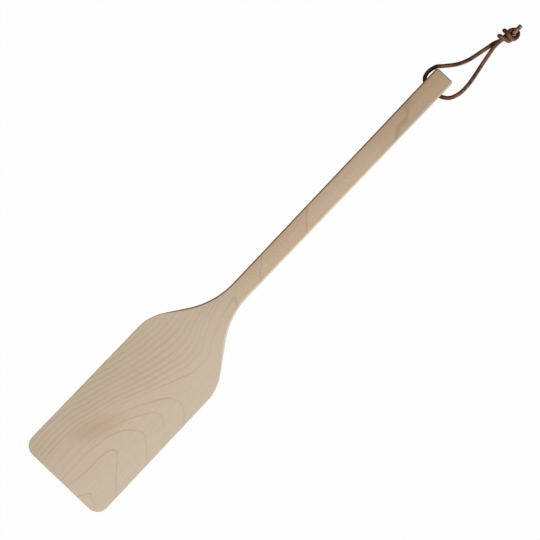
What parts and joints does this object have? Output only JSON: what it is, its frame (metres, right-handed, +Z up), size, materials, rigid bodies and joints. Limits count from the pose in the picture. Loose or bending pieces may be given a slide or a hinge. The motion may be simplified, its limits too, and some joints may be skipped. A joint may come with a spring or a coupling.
{
  "type": "wooden spatula",
  "caption": "Flat wooden spatula with a straight-edged blade, sloped shoulders and a long slim handle, and a knotted leather loop through the handle's end for hanging it up.",
  "frame": {"origin": "under the middle of the board's box, on the flat underside that it lies on", "axes": "+X along the handle towards its end, +Y to the left seen from above, +Z up from the flat underside"},
  "size_m": [0.4629, 0.0738, 0.0114],
  "materials": {
    "maple": "sanded smooth, unvarnished",
    "leather": "round cord, waxed"
  },
  "bodies": {
    "board": {"spatula_board": "maple"},
    "thong": {"thong_bore_run": "leather", "thong_left_leg": "leather", "thong_right_leg": "leather", "thong_left_knot_strand": "leather", "thong_right_knot_strand": "leather"}
  },
  "joints": [
    {"name": "thong_swing", "type": "hinge", "parent": "board", "child": "thong", "pos_m": [0.1866, 0.0015, 0.0045], "axis": [0, -1, 0], "range_deg": [-140, 155]}
  ]
}
